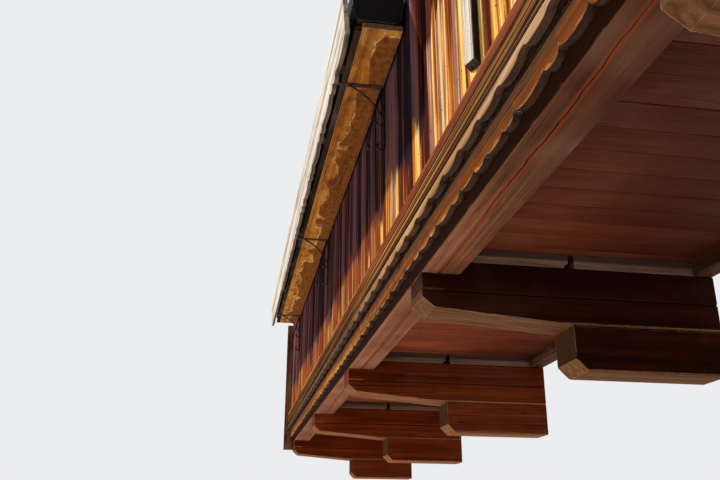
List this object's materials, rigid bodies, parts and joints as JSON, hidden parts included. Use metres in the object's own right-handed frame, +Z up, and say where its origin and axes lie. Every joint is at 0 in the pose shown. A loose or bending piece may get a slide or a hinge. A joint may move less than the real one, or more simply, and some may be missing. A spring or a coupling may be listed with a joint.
{
  "type": "alpine chalet balcony",
  "caption": "Timber balcony on stacked cross logs, with boarded balustrade, scalloped valances, iron brackets and a long flower box.",
  "frame": {"origin": "on the wall end of the middle upper cross log, at the height of the edge beam's underside", "axes": "+X along the house front, +Y into the wall, +Z up"},
  "size_m": [7.175, 1.4449, 1.572],
  "materials": {
    "cross_log_1": "weathered, matt",
    "cross_log_2": "weathered, matt",
    "cross_log_3": "weathered, matt",
    "cross_log_4": "weathered, matt",
    "cross_log_5": "weathered, matt",
    "lower_log_1": "weathered, matt",
    "lower_log_2": "weathered, matt",
    "lower_log_3": "weathered, matt",
    "lower_log_4": "weathered, matt",
    "lower_log_5": "weathered, matt",
    "corbel_1": "weathered, matt",
    "corbel_2": "weathered, matt",
    "corbel_3": "weathered, matt",
    "corbel_4": "weathered, matt",
    "corbel_5": "weathered, matt",
    "packing_planks": "weathered, matt",
    "wall_ledger": "weathered, matt",
    "edge_beam": "weathered, matt",
    "floor_bay_1": "weathered, matt",
    "floor_bay_2": "weathered, matt",
    "floor_bay_3": "weathered, matt",
    "floor_bay_4": "weathered, matt",
    "posts": "weathered, matt",
    "backing_rails": "weathered, matt",
    "handrail": "weathered, matt",
    "cladding_bay_1": "weathered, matt",
    "cladding_bay_2": "weathered, matt",
    "cladding_bay_3": "weathered, matt",
    "cladding_bay_4": "weathered, matt",
    "end_boards_left": "weathered, matt",
    "end_boards_right": "weathered, matt",
    "corner_boards": "weathered, matt",
    "foot_moulding": "weathered, matt",
    "upper_valance": "weathered, matt",
    "lower_valance": "weathered, matt",
    "tray_planks": "weathered, matt",
    "tray_rail": "weathered, matt",
    "front_board": "weathered, matt",
    "front_cleats": "weathered, matt",
    "tray_troughs": "satin black",
    "iron_brackets": "black, matt",
    "cladding_batten": "weathered, matt"
  },
  "bodies": {
    "root": {"cross_log_1": "cross_log_1", "cross_log_2": "cross_log_2", "cross_log_3": "cross_log_3", "cross_log_4": "cross_log_4", "cross_log_5": "cross_log_5", "lower_log_1": "lower_log_1", "lower_log_2": "lower_log_2", "lower_log_3": "lower_log_3", "lower_log_4": "lower_log_4", "lower_log_5": "lower_log_5", "corbel_1": "corbel_1", "corbel_2": "corbel_2", "corbel_3": "corbel_3", "corbel_4": "corbel_4", "corbel_5": "corbel_5", "packing_planks": "packing_planks", "wall_ledger": "wall_ledger", "edge_beam": "edge_beam", "floor_bay_1": "floor_bay_1", "floor_bay_2": "floor_bay_2", "floor_bay_3": "floor_bay_3", "floor_bay_4": "floor_bay_4", "posts": "posts", "backing_rails": "backing_rails", "handrail": "handrail", "cladding_bay_1": "cladding_bay_1", "cladding_bay_2": "cladding_bay_2", "cladding_bay_3": "cladding_bay_3", "cladding_bay_4": "cladding_bay_4", "end_boards_left": "end_boards_left", "end_boards_right": "end_boards_right", "corner_boards": "corner_boards", "foot_moulding": "foot_moulding", "upper_valance": "upper_valance", "lower_valance": "lower_valance", "tray_planks": "tray_planks", "tray_rail": "tray_rail", "front_board": "front_board", "front_cleats": "front_cleats", "tray_troughs": "tray_troughs", "iron_brackets": "iron_brackets", "cladding_batten": "cladding_batten"}
  },
  "joints": []
}
